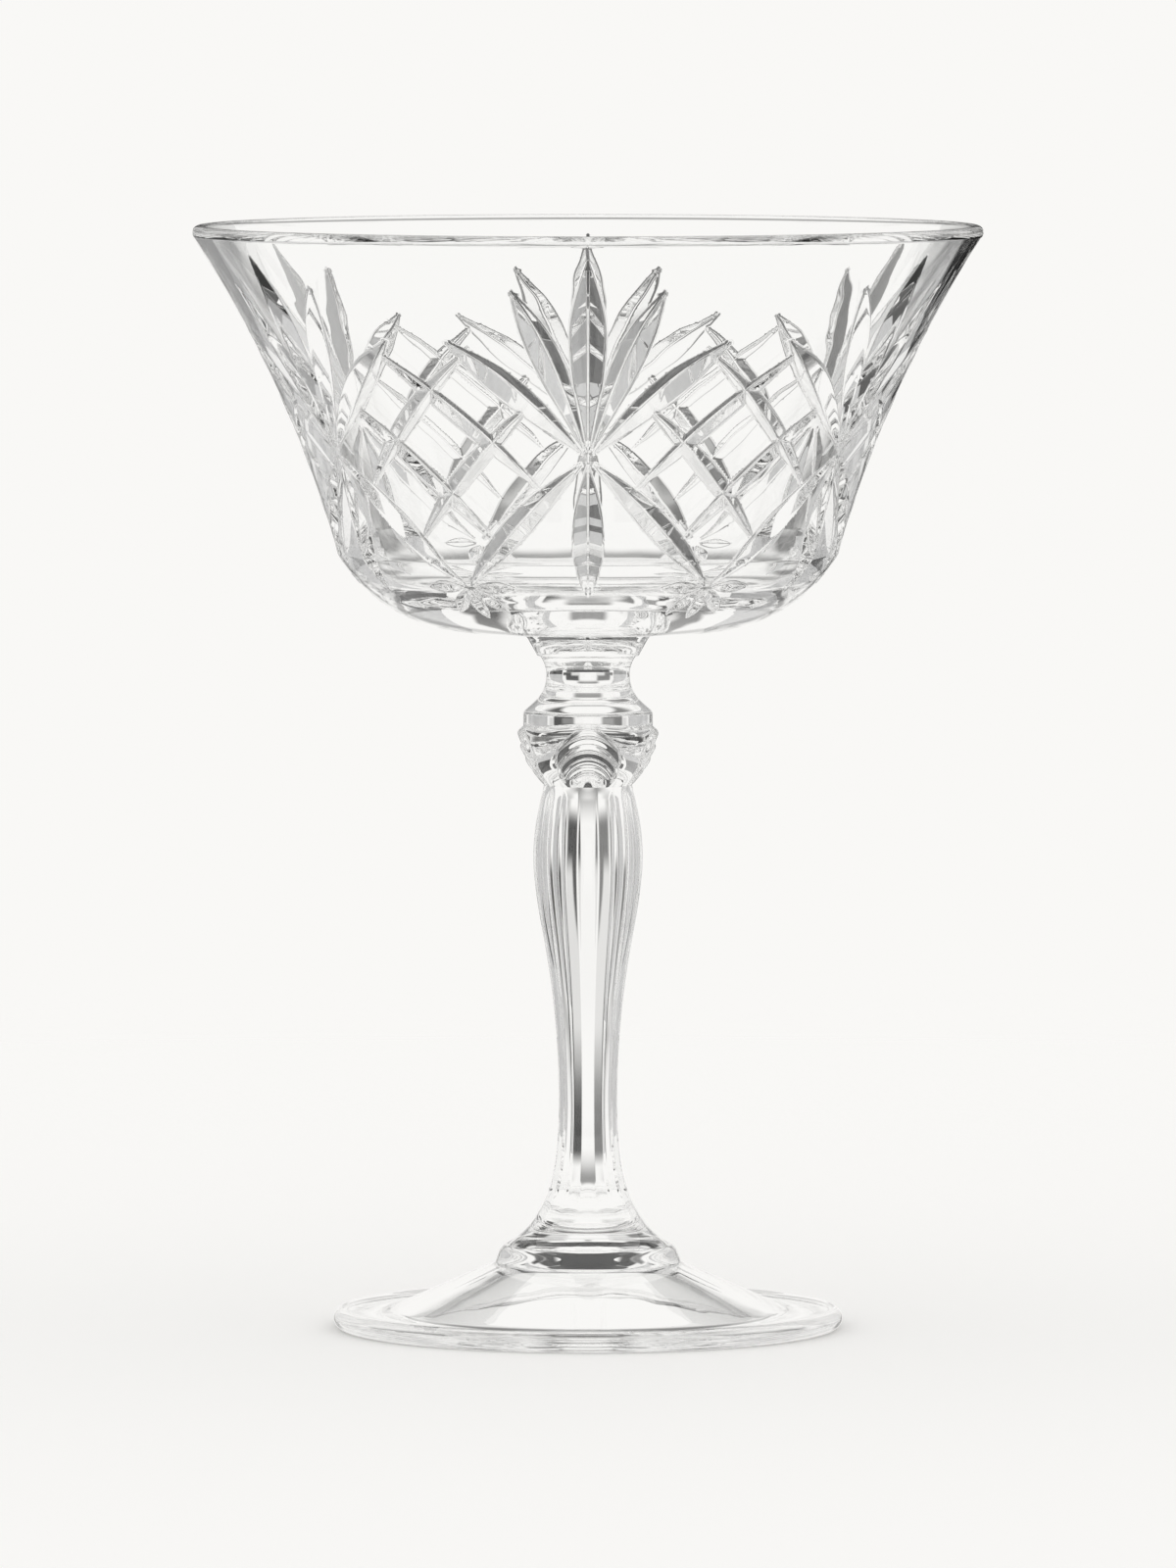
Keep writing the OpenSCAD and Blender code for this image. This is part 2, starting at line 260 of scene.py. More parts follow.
def curve(a, b, c, d, steps):
    """Points on a cubic curve from a to d with handles b and c."""
    t = np.linspace(0, 1, steps + 1)[:, None]
    u = 1 - t
    a, b, c, d = (np.asarray(p, float) for p in (a, b, c, d))
    return u**3 * a + 3 * u * u * t * b + 3 * u * t * t * c + t**3 * d


def bend(a, d, pull, steps):
    """A curve whose handles reach shares of the way from a to d."""
    a, d = np.asarray(a, float), np.asarray(d, float)
    return curve(a, a + np.array(pull[0]) * (d - a), d - np.array(pull[1]) * (d - a), d, steps)


def line(a, b, steps):
    """Points on a straight line."""
    t = np.linspace(0, 1, steps + 1)[:, None]
    return (1 - t) * np.asarray(a, float) + t * np.asarray(b, float)


def chain(*stretches):
    """Stretches of a profile joined end to end, without repeated points."""
    return np.vstack([stretches[0]] + [s[1:] for s in stretches[1:]])


# Meshes

def around(radius, azimuth, height):
    """Points at a radius, azimuth and height."""
    return np.stack([radius * np.sin(azimuth), -radius * np.cos(azimuth),
                     height + 0 * azimuth], axis=-1)


def unit(v):
    return v / np.maximum(np.linalg.norm(v, axis=-1, keepdims=True), TINY)


def grid_normals(points):
    """Outward normals of a closed loft, whose rows go up and whose columns go round."""
    along = np.gradient(points, axis=0)
    round_ = np.roll(points, -1, axis=1) - np.roll(points, 1, axis=1)
    return unit(np.cross(round_, along))


def grid_faces(rows, columns):
    """Quads between the rows of a closed loft."""
    faces = []
    for i in range(rows - 1):
        for j in range(columns):
            k = (j + 1) % columns
            faces.append((i * columns + j, i * columns + k,
                          (i + 1) * columns + k, (i + 1) * columns + j))
    return faces


def make_piece(name, node, points, normals, faces, weld_faces):
    """One glass piece with its own normals. Its weld faces join it to its neighbour and don't show."""
    mesh = bpy.data.meshes.new(name)
    mesh.from_pydata((np.asarray(points) * MM).tolist(), [], list(faces) + list(weld_faces))
    mesh.materials.append(glass_material())
    mesh.materials.append(weld_material())
    mesh.polygons.foreach_set("material_index", [0] * len(faces) + [1] * len(weld_faces))
    mesh.polygons.foreach_set("use_smooth", [True] * len(mesh.polygons))
    mesh.normals_split_custom_set_from_vertices(np.asarray(normals).tolist())
    mesh.update()
    piece = bpy.data.objects.new(name, mesh)
    scene.collection.objects.link(piece)
    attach(piece, "root")
    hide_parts(node)


def loft_piece(name, node, points):
    """A solid loft whose two end rings are closed with weld faces."""
    rows, columns = points.shape[:2]
    last = (rows - 1) * columns
    bottom = tuple(range(columns - 1, -1, -1))
    top = tuple(range(last, last + columns))
    normals = grid_normals(points)
    make_piece(name, node, points.reshape(-1, 3), normals.reshape(-1, 3),
               grid_faces(rows, columns), [bottom, top])


def turned(profile, columns):
    """A profile turned round the axis, as rows of points."""
    azimuth = np.linspace(0, 2 * math.pi, columns, endpoint=False)
    return np.stack([around(r, azimuth, z) for r, z in profile])


# Materials

def glass_material():
    """Clear pressed glass: fire polished, with a faint waviness and faint smears."""
    found = bpy.data.materials.get("pressed_glass")
    if found:
        return found
    material = bpy.data.materials.new("pressed_glass")
    material.use_nodes = True
    nodes, links = material.node_tree.nodes, material.node_tree.links
    shader = nodes["Principled BSDF"]
    shader.inputs["Base Color"].default_value = (*GLASS_COLOUR, 1)
    shader.inputs["Transmission Weight"].default_value = 1
    shader.inputs["IOR"].default_value = GLASS_IOR
    place = nodes.new("ShaderNodeTexCoord")
    waves = nodes.new("ShaderNodeTexNoise")
    waves.inputs["Scale"].default_value = WAVE_SCALE
    waves.inputs["Detail"].default_value = WAVE_DETAIL
    links.new(place.outputs["Object"], waves.inputs["Vector"])
    bump = nodes.new("ShaderNodeBump")
    bump.inputs["Strength"].default_value = 1
    bump.inputs["Distance"].default_value = WAVE_HEIGHT
    links.new(waves.outputs["Fac"], bump.inputs["Height"])
    links.new(bump.outputs["Normal"], shader.inputs["Normal"])
    smears = nodes.new("ShaderNodeTexNoise")
    smears.inputs["Scale"].default_value = SMEAR_SCALE
    smears.inputs["Detail"].default_value = SMEAR_DETAIL
    links.new(place.outputs["Object"], smears.inputs["Vector"])
    haze = nodes.new("ShaderNodeMapRange")
    haze.inputs["From Min"].default_value = SMEAR_RANGE[0]
    haze.inputs["From Max"].default_value = SMEAR_RANGE[1]
    haze.inputs["To Max"].default_value = SMEAR_ROUGHNESS
    links.new(smears.outputs["Fac"], haze.inputs["Value"])
    links.new(haze.outputs[0], shader.inputs["Roughness"])
    return material


def weld_material():
    """The fused joint between two pieces, which can't be seen in the glass."""
    found = bpy.data.materials.get("fused_joint")
    if found:
        return found
    material = bpy.data.materials.new("fused_joint")
    material.use_nodes = True
    nodes, links = material.node_tree.nodes, material.node_tree.links
    nodes.remove(nodes["Principled BSDF"])
    clear = nodes.new("ShaderNodeBsdfTransparent")
    links.new(clear.outputs[0], nodes["Material Output"].inputs["Surface"])
    return material


# Bowl

SHOULDER = np.array([SHOULDER_R, BOWL_LOW + SHOULDER_H])
LIP = np.array([RIM_R - LIP_R, BOWL_HIGH - LIP_R])
OUTWARD = np.array([math.cos(RIM_LEAN), -math.sin(RIM_LEAN)])
RIM_OUT = LIP + LIP_R * OUTWARD
RIM_IN = LIP - LIP_R * OUTWARD


def chord_lean(p, q):
    return math.atan2(q[0] - p[0], q[1] - p[1])


def foot_lean(p, q):
    """Lean at the lower end of an arc that ends with the rim's lean."""
    return 2 * chord_lean(p, q) - RIM_LEAN


def arc_radius(p, q):
    return math.dist(p, q) / (2 * math.sin(RIM_LEAN - chord_lean(p, q)))


LEAN = foot_lean(SHOULDER, RIM_OUT)
FLARE_R = arc_radius(SHOULDER, RIM_OUT)
CORNER_R = SHOULDER_H / (1 - math.sin(CORNER_LEAN))
CORNER = SHOULDER - CORNER_R * np.array([math.cos(CORNER_LEAN), -math.sin(CORNER_LEAN)])
S_TOP = (RIM_LEAN - LEAN) * FLARE_R
# Lower end of the cut skin, under the small stars
S_LOW = -12.6
FLANK = math.tan(MITRE / 2)
SECTOR = 2 * math.pi / FAN_COUNT


def skin(s):
    """Radius, height and lean of the bowl's plain skin."""
    lean = np.where(s >= 0, LEAN + s / FLARE_R, CORNER_LEAN - s / CORNER_R)
    r = np.where(s >= 0, SHOULDER[0] + FLARE_R * (math.cos(LEAN) - np.cos(lean)),
                 CORNER[0] + CORNER_R * np.cos(lean))
    z = np.where(s >= 0, SHOULDER[1] + FLARE_R * (np.sin(lean) - math.sin(LEAN)),
                 CORNER[1] - CORNER_R * np.sin(lean))
    return r, z, lean


def skin_radius(s):
    return float(skin(np.array(float(s)))[0])


def ray(centre, lean, length, width, widest=EVEN_WIDEST):
    """A cut that leaves a star's centre at a lean in degrees, as its ends, width and widest place."""
    lean = math.radians(lean)
    way = np.array([math.sin(lean) / skin_radius(centre[1]), math.cos(lean)])
    return np.array(centre) + STAR_GAP * way, np.array(centre) + length * way, width, widest


def link(start, end, width):
    """A cut from one star to another, short of both centres."""
    start, end = np.array(start), np.array(end)
    run = end - start
    short = STAR_GAP / math.hypot(run[0] * skin_radius(start[1]), run[1]) * run
    return start + short, end - short, width, EVEN_WIDEST


def sector_cuts():
    """All cuts of one sector, with its fan in the middle."""
    fan = (0.0, FAN_RISE)
    star_az = SECTOR / 2
    star = (star_az, -STAR_DROP)
    cuts = [ray(fan, 0, FAN_REACH, FAN_W, FAN_WIDEST),
            ray(fan, 180, DROP_REACH, DROP_W, DROP_WIDEST),
            ray(star, 180, STAR_REACH, STAR_W)]
    for side in (-1, 1):
        for lean, share in zip(FAN_LEANS, FAN_SHARES):
            cuts.append(ray(fan, side * lean, share * FAN_REACH, RAY_W, FAN_WIDEST))
        for lean in STAR_LEANS:
            cuts.append(ray(star, side * lean, STAR_REACH, STAR_W))
        cuts.append(link(fan, (side * star_az, -STAR_DROP), LINK_W))
        for level in (0, 1):
            across = side * DIAMOND_HALF / skin_radius(DIAMOND_RISE)
            step = np.array([across, DIAMOND_HALF])
            low = np.array([star_az - across * (1 - level), DIAMOND_RISE - DIAMOND_HALF * level])
            more = GROOVE_RUN / DIAMOND_HALF * step
            cuts.append((low - more, low + step + more, GROOVE_W, EVEN_WIDEST))
    return cuts


CUTS = [(a + shift, b + shift, w, widest)
        for turn in (-1, 0, 1)
        for shift in [np.array([turn * SECTOR, 0.0])]
        for a, b, w, widest in sector_cuts()]


def leaf(t, widest):
    """Leaf shape along a cut: 0 at both points and 1 at the widest place."""
    rising = np.sin(math.pi / 2 * t / widest)
    falling = np.cos(math.pi / 2 * (t - widest) / (1 - widest))
    return np.where(t < widest, rising, falling)


def cut_depths(az, s):
    """Depth of every cut at places on the skin, and the side of its valley."""
    az = az - SECTOR * np.round(az / SECTOR)
    radius = skin(s)[0]
    depths, sides = [], []
    for a, b, width, widest in CUTS:
        mid_r = skin_radius((a[1] + b[1]) / 2)
        run = np.array([(b[0] - a[0]) * mid_r, b[1] - a[1]])
        length = math.hypot(*run)
        way = run / length
        t = ((az - a[0]) * mid_r * way[0] + (s - a[1]) * way[1]) / length
        inside = np.clip(t, 0, 1)
        across = ((az - a[0] - inside * (b[0] - a[0])) * radius * way[1]
                  - (s - a[1] - inside * (b[1] - a[1])) * way[0])
        beyond = np.abs(t - inside) * length
        depths.append((leaf(inside, widest) * width / 2 - np.hypot(across, beyond)) / FLANK)
        sides.append(across > 0)
    return np.array(depths), np.array(sides)


def cut_depth(az, s):
    return np.maximum(cut_depths(az, s)[0].max(axis=0), 0)


def facet_of(az, s):
    """Number of the facet at each place: 0 for the plain skin, else a flank of a cut.

    Below the shoulder the facets have other numbers.
    """
    depths, sides = cut_depths(az, s)
    deepest = depths.argmax(axis=0)
    side = np.take_along_axis(sides, deepest[None], 0)[0]
    deep = np.take_along_axis(depths, deepest[None], 0)[0]
    below = (1 + 2 * len(CUTS)) * (s < 0)
    return np.where(deep > 0, 1 + 2 * deepest + side, 0) + below


def skin_point(az, s):
    """Points on the cut skin."""
    r, z, lean = skin(s)
    depth = cut_depth(az, s)
    return around(r - depth * np.cos(lean), az, z + depth * np.sin(lean))


# Distance that polishing rounds, in millimetres
POLISH = 0.14


def skin_normal(az, s):
    """Normals of the cut skin, taken over the small distance that polishing rounds."""
    step = POLISH / skin(s)[0]
    across = skin_point(az + step, s) - skin_point(az - step, s)
    up = skin_point(az, s + POLISH) - skin_point(az, s - POLISH)
    return unit(np.cross(across, up))


# Mesh of the cut skin, in millimetres: the grid's step, how many of them make a coarse step, how far
# beside an edge the places on its facets lie, and the radius at which azimuths are measured as lengths
GRID = 0.4
COARSE = 3
BESIDE = 0.26
DOMAIN_R = 42.0
# Least length of an edge that has places beside it, and least room of a place on a border
SHORT = 0.3 * GRID
# Least distance of a place beside an edge from the borders, and from other edges
MARGIN = 0.2 * GRID
BESIDE_ROOM = 0.8 * BESIDE
# Distances from the edges at which the grid starts, and up to which it is fine
GRID_ROOM = 1.4 * BESIDE
FINE = 2.2 * GRID
# How far inside its borders the half sector is looked at, in radians
HAIR = 1e-5
# How often a stretch between two places is halved to find the edge on it
HALVINGS = 16
# How near places are one, in millimetres, and how near a level places are on it
SAME_PLACE = 1e-6
SAME_LEVEL = 1e-4
# Digits to which a place on two neighbouring halves agrees
SAME_DIGITS = 7


def crossing(a, b):
    """Places between pairs of places a and b at which the facet changes."""
    start = facet_of(a[:, 0], a[:, 1])
    low, high = a.copy(), b.copy()
    for _ in range(HALVINGS):
        mid = (low + high) / 2
        same = (facet_of(mid[:, 0], mid[:, 1]) == start)[:, None]
        low, high = np.where(same, mid, low), np.where(same, high, mid)
    return (low + high) / 2


def half_sector():
    """Places and triangles of half a sector of the cut skin, fitted to the edges of its facets."""
    half = SECTOR / 2
    columns = COARSE * round(half * DOMAIN_R / GRID / COARSE)
    rows = COARSE * round((S_TOP - S_LOW) / GRID / COARSE)
    az = np.linspace(0, half, columns + 1)
    s = np.linspace(S_LOW, S_TOP, rows + 1)
    inner_az = np.clip(az, HAIR, half - HAIR)
    places = np.stack(np.meshgrid(inner_az, s), axis=-1)
    facets = facet_of(places[..., 0], places[..., 1])

    # Places where the edges of facets cross the grid's lines
    found = {}
    for axis, a, b in (("h", places[:, :-1], places[:, 1:]), ("v", places[:-1], places[1:])):
        differ = (facets[:, :-1] != facets[:, 1:]) if axis == "h" else (facets[:-1] != facets[1:])
        for (i, j), spot in zip(np.argwhere(differ), crossing(a[differ], b[differ])):
            found[axis, i, j] = spot
    spots, edges, beside = [], [], []
    number = {}

    def spot_number(key):
        if key not in number:
            number[key] = len(spots)
            spots.append(found[key])
        return number[key]

    def flat(p):
        return np.array([p[0] * DOMAIN_R, p[1]])

    for i in range(rows):
        for j in range(columns):
            sides = (("h", i, j), ("h", i + 1, j), ("v", i, j), ("v", i, j + 1))
            keys = [k for k in sides if k in found]
            ends = [spot_number(k) for k in keys]
            if len(ends) == 2:
                edges.append(tuple(ends))
                p, q = (np.array(spots[e]) for e in ends)
                way = flat(q) - flat(p)
                size = math.hypot(*way)
                if size > SHORT:
                    off = np.array([-way[1] / DOMAIN_R, way[0]]) / size * BESIDE
                    beside += [(p + q) / 2 + off, (p + q) / 2 - off]
            elif len(ends) > 2:
                number["middle", i, j] = len(spots)
                spots.append(np.mean([found[k] for k in keys], axis=0))
                edges += [(e, number["middle", i, j]) for e in ends]

    # A cut that reaches a border of the half sector has its other flank in the mirrored half
    for column, inward in ((0, BESIDE), (columns, -BESIDE)):
        for i in np.flatnonzero(cut_depth(inner_az[column] + 0 * s, s) > 0):
            if 0 < i < rows:
                spots.append((az[column], s[i]))
                beside.append(np.array([az[column] + inward / DOMAIN_R, s[i]]))

    tree = KDTree(len(spots))
    for n, p in enumerate(spots):
        tree.insert((*flat(p), 0), n)
    tree.balance()

    def room(p):
        """Distance from a place to the nearest spot on the facets' edges."""
        return tree.find((*flat(p), 0))[2]

    # Rows of places beside the edges, then a grid that is coarser away from them
    spots = [np.array(p) for p in spots]
    extra = [p for p in beside if MARGIN < p[0] * DOMAIN_R < half * DOMAIN_R - MARGIN
             and room(p) > BESIDE_ROOM]
    for i in range(rows + 1):
        for j in range(columns + 1):
            p = np.array([az[j], s[i]])
            on_border = i in (0, rows) or j in (0, columns)
            coarse = i % COARSE == 0 and j % COARSE == 0
            gap = room(p)
            if i in (0, rows):
                keep = j % COARSE == 0
            elif on_border:
                keep = gap > SHORT
            else:
                keep = gap > GRID_ROOM and (coarse or gap < FINE)
            if keep:
                extra.append(p)
    for p in spots:
        if p[0] < 2 * HAIR:
            p[0] = 0
        elif p[0] > half - 2 * HAIR:
            p[0] = half
    every = np.array(spots + extra)
    flat_points = [Vector((p[0] * DOMAIN_R, p[1])) for p in every]
    out = delaunay_2d_cdt(flat_points, edges, [], 0, SAME_PLACE)
    placed = np.array([(v.x / DOMAIN_R, v.y) for v in out[0]])
    return placed, [tuple(f) for f in out[2]]


def cut_skin():
    """Places and triangles of the whole cut skin: half a sector, mirrored and repeated."""
    half, triangles = half_sector()
    places, faces = [], []
    for turn in range(FAN_COUNT):
        for side in (1, -1):
            first = len(places) * len(half)
            places.append(half * [side, 1] + [turn * SECTOR, 0])
            faces += [tuple(first + v for v in (t if side == 1 else t[::-1])) for t in triangles]
    places = np.vstack(places)
    az, s = places.T
    key = np.round(np.column_stack([np.cos(az), np.sin(az), s / DOMAIN_R]), SAME_DIGITS)
    _, index, inverse = np.unique(key, axis=0, return_index=True, return_inverse=True)
    inverse = inverse.ravel()
    merged = [tuple(int(inverse[v]) for v in f) for f in faces]
    return places[index], [f for f in merged if len(set(f)) == 3]


def profile_normals(profile):
    """Normals along a profile, to the right of its way."""
    way = np.gradient(np.asarray(profile), axis=0)
    return unit(np.column_stack([way[:, 1], -way[:, 0]]))


def bowl_piece():
    places, faces = cut_skin()
    points = skin_point(places[:, 0], places[:, 1])
    normals = skin_normal(places[:, 0], places[:, 1])

    def border(level):
        """Vertices of one border of the skin, in order of azimuth."""
        index = np.flatnonzero(np.abs(places[:, 1] - level) < SAME_LEVEL)
        return index[np.argsort(places[index, 0] % (2 * math.pi))]

    top, low = border(S_TOP), border(S_LOW)
    columns = len(top)
    inner_foot = SHOULDER - WALL_T * np.array([math.cos(LEAN), -math.sin(LEAN)])
    inner_lean = foot_lean(inner_foot, RIM_IN)
    inner_r = arc_radius(inner_foot, RIM_IN)
    inner_floor = BOWL_LOW + FLOOR_T
    inner_corner_r = (inner_foot[1] - inner_floor) / (1 - math.sin(inner_lean))
    inner_corner = inner_foot - inner_corner_r * np.array([math.cos(inner_lean), -math.sin(inner_lean)])
    inner_centre = inner_foot + inner_r * np.array([math.cos(inner_lean), -math.sin(inner_lean)])
    inside = chain(
        arc(LIP, LIP_R, -RIM_LEAN, math.pi - RIM_LEAN, steps=16),
        arc(inner_centre, inner_r, math.pi - RIM_LEAN, math.pi - inner_lean, steps=18),
        arc(inner_corner, inner_corner_r, -inner_lean, -math.pi / 2, steps=16),
        line((inner_corner[0], inner_floor), (MIDDLE_R, inner_floor), steps=8))
    under_s = np.linspace(S_LOW, -(math.pi / 2 - CORNER_LEAN) * CORNER_R, UNDER_ROWS)
    under = chain(
        np.column_stack(skin(under_s)[:2]),
        line((CORNER[0], BOWL_LOW), (BOSS_TOP_R, BOWL_LOW), steps=8))

    points, normals = list(points), list(normals)
    faces = list(faces)
    azimuth = places[top, 0]

    def add_rows(profile, ring, flip):
        """Turns a profile that starts at a ring of vertices, and returns its last ring."""
        slope = profile_normals(profile)
        for (r, z), (nr, nz) in list(zip(profile, slope))[1:]:
            first = len(points)
            points.extend(around(r, azimuth, z))
            sign = -1 if flip else 1
            normals.extend(sign * np.column_stack([nr * np.sin(azimuth), -nr * np.cos(azimuth),
                                                   nz + 0 * azimuth]))
            new = list(range(first, first + columns))
            for j in range(columns):
                k = (j + 1) % columns
                quad = (ring[j], ring[k], new[k], new[j])
                faces.append(quad[::-1] if flip else quad)
            ring = new
        return ring

    floor_ring = add_rows(inside, list(top), False)
    faces.append(tuple(floor_ring))
    under_ring = add_rows(under, list(low), True)
    weld = [tuple(under_ring[::-1])]
    make_piece("bowl_glass", "bowl", points, normals, faces, weld)


# Boss, knop, stem and foot

def boss_piece():
    edge_low = (BOSS_R - BOSS_INSET, BOSS_LOW)
    edge_high = (BOSS_R + BOSS_BULGE, BOSS_LOW + BOSS_EDGE_H)
    profile = chain(
        line((NECK_TOP_R, BOSS_LOW), edge_low, steps=2),
        bend(edge_low, edge_high, BOSS_EDGE_PULL, steps=5),
        bend(edge_high, (BOSS_TOP_R, BOSS_HIGH), BOSS_PULL, steps=14))
    loft_piece("boss_glass", "boss", turned(profile, BOSS_COLUMNS))


def rib(azimuth, h):
    """How far the ribs of the shells stand out at an azimuth and a height above the knop's foot."""
    step = 2 * math.pi / SHELL_COUNT
    off = azimuth - step * np.round(azimuth / step)
    side = np.abs(off / SHELL_HALF)
    level = max(h - SHELL_BASE, 0) / (SHELL_H - SHELL_BASE) + SHELL_ARCH * side**2
    pitch = 1 / RIB_COUNT
    wave = np.abs(np.cos(math.pi * (1 - level) / pitch))
    fade = np.clip((1 - side) / SHELL_EDGE, 0, 1) * min(h / SHELL_BASE, 1)
    height = RIB_T * np.minimum(level, 1) * fade * wave
    return np.where(level > 1 + pitch / 2, 0, height)


def knop_piece():
    foot = (WAIST_R, KNOP_LOW)
    side = (KNOP_R, KNOP_LOW + SIDE_H)
    top = (KNOP_R, KNOP_LOW + KNOP_H)
    throat = (NECK_R, KNOP_LOW + KNOP_H + THROAT_H)
    profile = chain(
        bend(foot, side, SIDE_PULL, steps=80),
        line(side, top, steps=26),
        bend(top, throat, THROAT_PULL, steps=24),
        bend(throat, (NECK_TOP_R, KNOP_HIGH), NECK_PULL, steps=10))
    azimuth = np.linspace(0, 2 * math.pi, KNOP_COLUMNS, endpoint=False)
    rows = [around(r + rib(azimuth, z - KNOP_LOW), azimuth, z) for r, z in profile]
    loft_piece("knop_glass", "knop", np.stack(rows))


def stem_piece():
    thin = (THIN_R, STEM_LOW + THIN_H)
    belly = (BELLY_R, STEM_HIGH - BELLY_DROP)
    profile = chain(
        bend((COLLAR_R, STEM_LOW), thin, THIN_PULL, steps=48),
        bend(thin, belly, BELLY_PULL, steps=48),
        bend(belly, (WAIST_R, STEM_HIGH), WAIST_PULL, steps=36))
    azimuth = np.linspace(0, 2 * math.pi, FLUTE_COUNT * FLUTE_COLUMNS, endpoint=False)
    turn = azimuth * FLUTE_COUNT / (2 * math.pi)
    across = 2 * (turn - np.round(turn))
    rows = []
    for r, z in profile:
        fade = min(1, (STEM_HIGH - z) / FLUTE_START, (z - STEM_LOW - FLUTE_H) / FLUTE_END)
        depth = FLUTE_T * (r / BELLY_R) ** FLUTE_FALL * max(fade, 0)
        rows.append(around(r - depth * (1 - across**2), azimuth, z))
    loft_piece("stem_glass", "stem", np.stack(rows))


def foot_piece():
    edge = np.array([FOOT_R - EDGE_R, EDGE_R])
    edge_end = edge + EDGE_R * np.array([math.sin(EDGE_TURN), -math.cos(EDGE_TURN)])
    edge_way = np.array([math.cos(EDGE_TURN), math.sin(EDGE_TURN)])
    slope_top = np.array([COLLAR_R + COLLAR_SPREAD, FOOT_HIGH - COLLAR_H])
    slope_end = np.array([SLOPE_R, SLOPE_H])
    slope_way = unit(slope_end - slope_top)
    slope_out = np.array([-slope_way[1], slope_way[0]])
    under = slope_end - FOOT_T * slope_out
    ring_r = under[0] + under[1] * slope_out[1] / slope_out[0]
    dome = np.array([0, under[1] + (under[0] * slope_out[0] - DOME_R) / slope_out[1]])
    profile = chain(
        arc(dome, DOME_R, math.pi / 2 - DOME_START, math.atan2(slope_out[1], slope_out[0]), steps=16),
        line(dome + DOME_R * slope_out, (ring_r, 0), steps=16),
        line((ring_r, 0), edge - [0, EDGE_R], steps=6),
        arc(edge, EDGE_R, -math.pi / 2, EDGE_TURN - math.pi / 2, steps=36),
        curve(edge_end, edge_end + EDGE_HANDLE * edge_way,
              slope_end + SLOPE_HANDLE * slope_way, slope_end, steps=16),
        line(slope_end, slope_top, steps=24),
        bend(slope_top, (COLLAR_R, FOOT_HIGH), COLLAR_PULL, steps=16))
    loft_piece("foot_glass", "foot", turned(profile, FOOT_COLUMNS))


# Studio

def camera():
    data = bpy.data.cameras.new("camera")
    data.lens = LENS
    data.sensor_width = SENSOR
    data.clip_end = CLIP_END
    rig = bpy.data.objects.new("camera", data)
    rig.location = (0, -CAMERA_DISTANCE, CAMERA_HEIGHT)
    aim = Vector((0, 0, AIM_HEIGHT)) - rig.location
    rig.rotation_mode = "QUATERNION"
    rig.rotation_quaternion = aim.to_track_quat("-Z", "Y")
    scene.collection.objects.link(rig)
    scene.camera = rig


def floor():
    """A pale round floor that fades into the backdrop."""
    radii = np.linspace(FLOOR_MIDDLE, FLOOR_RADIUS, FLOOR_RINGS)
    azimuth = np.linspace(0, 2 * math.pi, FLOOR_COLUMNS, endpoint=False)
    points = np.concatenate([around(r, azimuth, 0.0) for r in radii[::-1]])
    faces = grid_faces(FLOOR_RINGS, FLOOR_COLUMNS)
    last = (FLOOR_RINGS - 1) * FLOOR_COLUMNS
    faces.append(tuple(range(last, last + FLOOR_COLUMNS)))
    mesh = bpy.data.meshes.new("floor")
    mesh.from_pydata(points.tolist(), [], faces)
    material = bpy.data.materials.new("floor")
    material.use_nodes = True
    nodes, links = material.node_tree.nodes, material.node_tree.links
    nodes.remove(nodes["Principled BSDF"])
    diffuse = nodes.new("ShaderNodeBsdfDiffuse")
    diffuse.inputs["Color"].default_value = (*FLOOR_ALBEDO, 1)
    clear = nodes.new("ShaderNodeBsdfTransparent")
    mix = nodes.new("ShaderNodeMixShader")
    place = nodes.new("ShaderNodeTexCoord")
    distance = nodes.new("ShaderNodeVectorMath")
    distance.operation = "LENGTH"
    links.new(place.outputs["Object"], distance.inputs[0])
    fade = nodes.new("ShaderNodeMapRange")
    fade.interpolation_type = "SMOOTHSTEP"
    fade.inputs["From Min"].default_value = FLOOR_FADE[0] * FLOOR_RADIUS
    fade.inputs["From Max"].default_value = FLOOR_FADE[1] * FLOOR_RADIUS
    links.new(distance.outputs["Value"], fade.inputs["Value"])
    rays = nodes.new("ShaderNodeLightPath")
    through = nodes.new("ShaderNodeMath")
    through.operation = "MAXIMUM"
    links.new(rays.outputs["Is Glossy Ray"], through.inputs[0])
    links.new(rays.outputs["Is Transmission Ray"], through.inputs[1])
    unseen = nodes.new("ShaderNodeMath")
    unseen.operation = "MAXIMUM"
    links.new(through.outputs[0], unseen.inputs[0])
    links.new(fade.outputs[0], unseen.inputs[1])
    links.new(unseen.outputs[0], mix.inputs[0])
    links.new(diffuse.outputs[0], mix.inputs[1])
    links.new(clear.outputs[0], mix.inputs[2])
    links.new(mix.outputs[0], nodes["Material Output"].inputs["Surface"])
    mesh.materials.append(material)
    ground = bpy.data.objects.new("floor", mesh)
    scene.collection.objects.link(ground)


